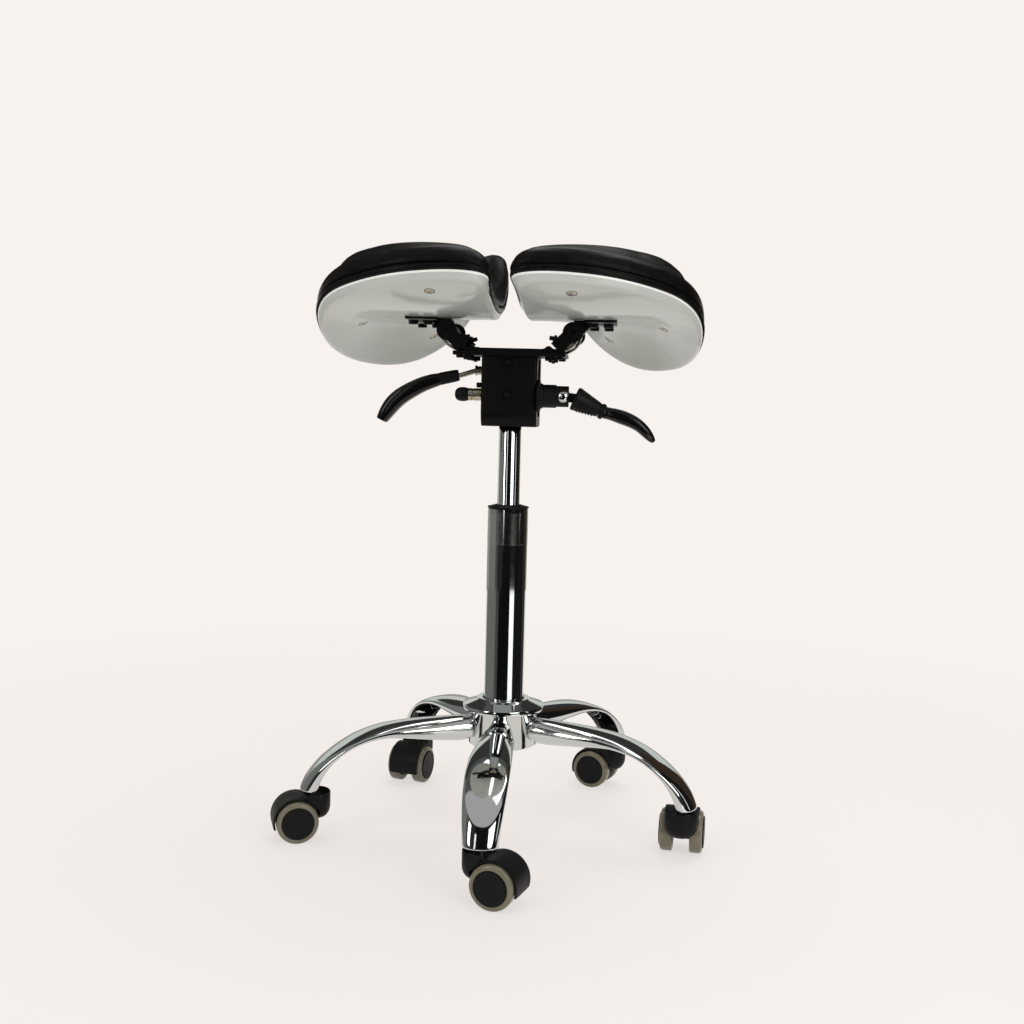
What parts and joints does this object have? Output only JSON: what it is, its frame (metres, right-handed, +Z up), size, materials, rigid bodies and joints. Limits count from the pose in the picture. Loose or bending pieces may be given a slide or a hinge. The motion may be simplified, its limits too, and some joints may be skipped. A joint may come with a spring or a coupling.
{
  "type": "saddle stool",
  "caption": "Split-seat saddle stool with a tilt clamp lever and a height lever, on a gas column and a chromed star base with twin-wheel casters.",
  "frame": {"origin": "on the floor, at the middle of the whole stool's box; the column's axis passes 11.0 mm to +X and 21.0 mm to +Y of it", "axes": "+Z up along the column, -Y towards the seat's rear, where one leg of the base points, +X towards the side with the tilt clamp lever"},
  "size_m": [0.537, 0.5092, 0.7518],
  "materials": {
    "chrome": "polished chrome plate on steel",
    "black_plastic": "moulded, satin black",
    "tread": "smooth taupe polyurethane with black disc faces",
    "steel": "machined, bare",
    "zinc": "zinc plated",
    "black_steel": "black powder coat",
    "white_pan": "glossy, cool white",
    "wrapped_board": "black leather wrapped over the seat board's edge",
    "cushion_cover": "black leather, soft semi-gloss"
  },
  "bodies": {
    "base": {"base_hub": "chrome", "leg_1": "chrome", "leg_2": "chrome", "leg_3": "chrome", "leg_4": "chrome", "leg_5": "chrome", "column_tube": "chrome", "column_guide_bush": "black_plastic", "thrust_bearing": "steel"},
    "column_rod": {"piston_rod": "steel"},
    "core": {"gas_cylinder": "chrome", "taper_socket": "zinc", "tilt_shaft": "steel", "tilt_lock_nut": "zinc", "tilt_end_cap": "black_plastic", "clamp_sleeve": "black_plastic", "clamp_pin": "chrome"},
    "release_pin": {"release_pin": "steel"},
    "height_lever": {"height_lever_rod": "zinc", "height_lever_grip": "black_plastic"},
    "clamp_lever": {"clamp_lever": "black_plastic"},
    "seat_frame": {"tilt_housing": "black_steel", "seat_plate": "black_steel", "lower_arm_right": "black_steel", "lower_arm_left": "black_steel", "hinge_bolt_right": "black_steel", "hinge_bolt_left": "black_steel"},
    "seat_half_right": {"upper_bracket_right": "black_steel", "seat_pan_right": "white_pan", "seat_board_right": "wrapped_board", "seat_cushion_right": "cushion_cover"},
    "seat_half_left": {"upper_bracket_left": "black_steel", "seat_pan_left": "white_pan", "seat_board_left": "wrapped_board", "seat_cushion_left": "cushion_cover"},
    "caster_1": {"caster_hood_1": "black_plastic", "caster_stem_1": "steel", "caster_axle_1": "steel"},
    "wheel_1a": {"caster_wheel_1a": "tread"},
    "wheel_1b": {"caster_wheel_1b": "tread"},
    "caster_2": {"caster_hood_2": "black_plastic", "caster_stem_2": "steel", "caster_axle_2": "steel"},
    "wheel_2a": {"caster_wheel_2a": "tread"},
    "wheel_2b": {"caster_wheel_2b": "tread"},
    "caster_3": {"caster_hood_3": "black_plastic", "caster_stem_3": "steel", "caster_axle_3": "steel"},
    "wheel_3a": {"caster_wheel_3a": "tread"},
    "wheel_3b": {"caster_wheel_3b": "tread"},
    "caster_4": {"caster_hood_4": "black_plastic", "caster_stem_4": "steel", "caster_axle_4": "steel"},
    "wheel_4a": {"caster_wheel_4a": "tread"},
    "wheel_4b": {"caster_wheel_4b": "tread"},
    "caster_5": {"caster_hood_5": "black_plastic", "caster_stem_5": "steel", "caster_axle_5": "steel"},
    "wheel_5a": {"caster_wheel_5a": "tread"},
    "wheel_5b": {"caster_wheel_5b": "tread"}
  },
  "joints": [
    {"name": "seat_swivel", "type": "hinge", "parent": "base", "child": "column_rod", "pos_m": [0.01105, 0.02096, 0.1296], "axis": [0, 0, 1], "continuous": true},
    {"name": "seat_height", "type": "slide", "parent": "column_rod", "child": "core", "axis": [0, 0, 1], "range_m": [-0.085, 0.1]},
    {"name": "height_lever_lift", "type": "hinge", "parent": "core", "child": "height_lever", "pos_m": [-0.00895, 0.02096, 0.578], "axis": [0, 1, 0], "range_deg": [0, 8], "stiffness_Nm_per_rad": 2, "springref_deg": -2.86},
    {"name": "release_pin_press", "type": "slide", "parent": "core", "child": "release_pin", "axis": [0, 0, -1], "range_m": [0, 0.0037]},
    {"name": "clamp_lever_turn", "type": "hinge", "parent": "core", "child": "clamp_lever", "pos_m": [0.07735, -0.00304, 0.549], "axis": [0, -1, 0], "range_deg": [0, 40]},
    {"name": "seat_tilt", "type": "hinge", "parent": "core", "child": "seat_frame", "pos_m": [0.01105, -0.00304, 0.549], "axis": [1, 0, 0], "range_deg": [-10, 6]},
    {"name": "seat_half_swing_right", "type": "hinge", "parent": "seat_frame", "child": "seat_half_right", "pos_m": [0.08705, 0.02096, 0.6255], "axis": [0, 1, 0], "range_deg": [-5, 5]},
    {"name": "seat_half_swing_left", "type": "hinge", "parent": "seat_frame", "child": "seat_half_left", "pos_m": [-0.06495, 0.02096, 0.6255], "axis": [0, -1, 0], "range_deg": [-5, 5]},
    {"name": "caster_swivel_1", "type": "hinge", "parent": "base", "child": "caster_1", "pos_m": [0.01105, -0.21504, 0.058], "axis": [0, 0, 1], "continuous": true},
    {"name": "wheel_spin_1a", "type": "hinge", "parent": "caster_1", "child": "wheel_1a", "pos_m": [0.03256, -0.22162, 0.0256], "axis": [0.2924, 0.9563, 0], "continuous": true},
    {"name": "wheel_spin_1b", "type": "hinge", "parent": "caster_1", "child": "wheel_1b", "pos_m": [0.03256, -0.22162, 0.0256], "axis": [0.2924, 0.9563, 0], "continuous": true},
    {"name": "caster_swivel_2", "type": "hinge", "parent": "base", "child": "caster_2", "pos_m": [0.2355, -0.05197, 0.058], "axis": [0, 0, 1], "continuous": true},
    {"name": "wheel_spin_2a", "type": "hinge", "parent": "caster_2", "child": "wheel_2a", "pos_m": [0.23824, -0.02964, 0.0256], "axis": [-0.9925, 0.1219, 0], "continuous": true},
    {"name": "wheel_spin_2b", "type": "hinge", "parent": "caster_2", "child": "wheel_2b", "pos_m": [0.23824, -0.02964, 0.0256], "axis": [-0.9925, 0.1219, 0], "continuous": true},
    {"name": "caster_swivel_3", "type": "hinge", "parent": "base", "child": "caster_3", "pos_m": [0.14976, 0.21189, 0.058], "axis": [0, 0, 1], "continuous": true},
    {"name": "wheel_spin_3a", "type": "hinge", "parent": "caster_3", "child": "wheel_3a", "pos_m": [0.1289, 0.22032, 0.0256], "axis": [-0.3746, -0.9272, 0], "continuous": true},
    {"name": "wheel_spin_3b", "type": "hinge", "parent": "caster_3", "child": "wheel_3b", "pos_m": [0.1289, 0.22032, 0.0256], "axis": [-0.3746, -0.9272, 0], "continuous": true},
    {"name": "caster_swivel_4", "type": "hinge", "parent": "base", "child": "caster_4", "pos_m": [-0.12767, 0.21189, 0.058], "axis": [0, 0, 1], "continuous": true},
    {"name": "wheel_spin_4a", "type": "hinge", "parent": "caster_4", "child": "wheel_4a", "pos_m": [-0.1335, 0.19015, 0.0256], "axis": [0.9659, -0.2588, 0], "continuous": true},
    {"name": "wheel_spin_4b", "type": "hinge", "parent": "caster_4", "child": "wheel_4b", "pos_m": [-0.1335, 0.19015, 0.0256], "axis": [0.9659, -0.2588, 0], "continuous": true},
    {"name": "caster_swivel_5", "type": "hinge", "parent": "base", "child": "caster_5", "pos_m": [-0.2134, -0.05197, 0.058], "axis": [0, 0, 1], "continuous": true},
    {"name": "wheel_spin_5a", "type": "hinge", "parent": "caster_5", "child": "wheel_5a", "pos_m": [-0.23441, -0.06003, 0.0256], "axis": [0.3584, -0.9336, 0], "continuous": true},
    {"name": "wheel_spin_5b", "type": "hinge", "parent": "caster_5", "child": "wheel_5b", "pos_m": [-0.23441, -0.06003, 0.0256], "axis": [0.3584, -0.9336, 0], "continuous": true}
  ],
  "couplings": [
    {"joint": "release_pin_press", "follows": "height_lever_lift", "m_per_rad": 0.026}
  ]
}
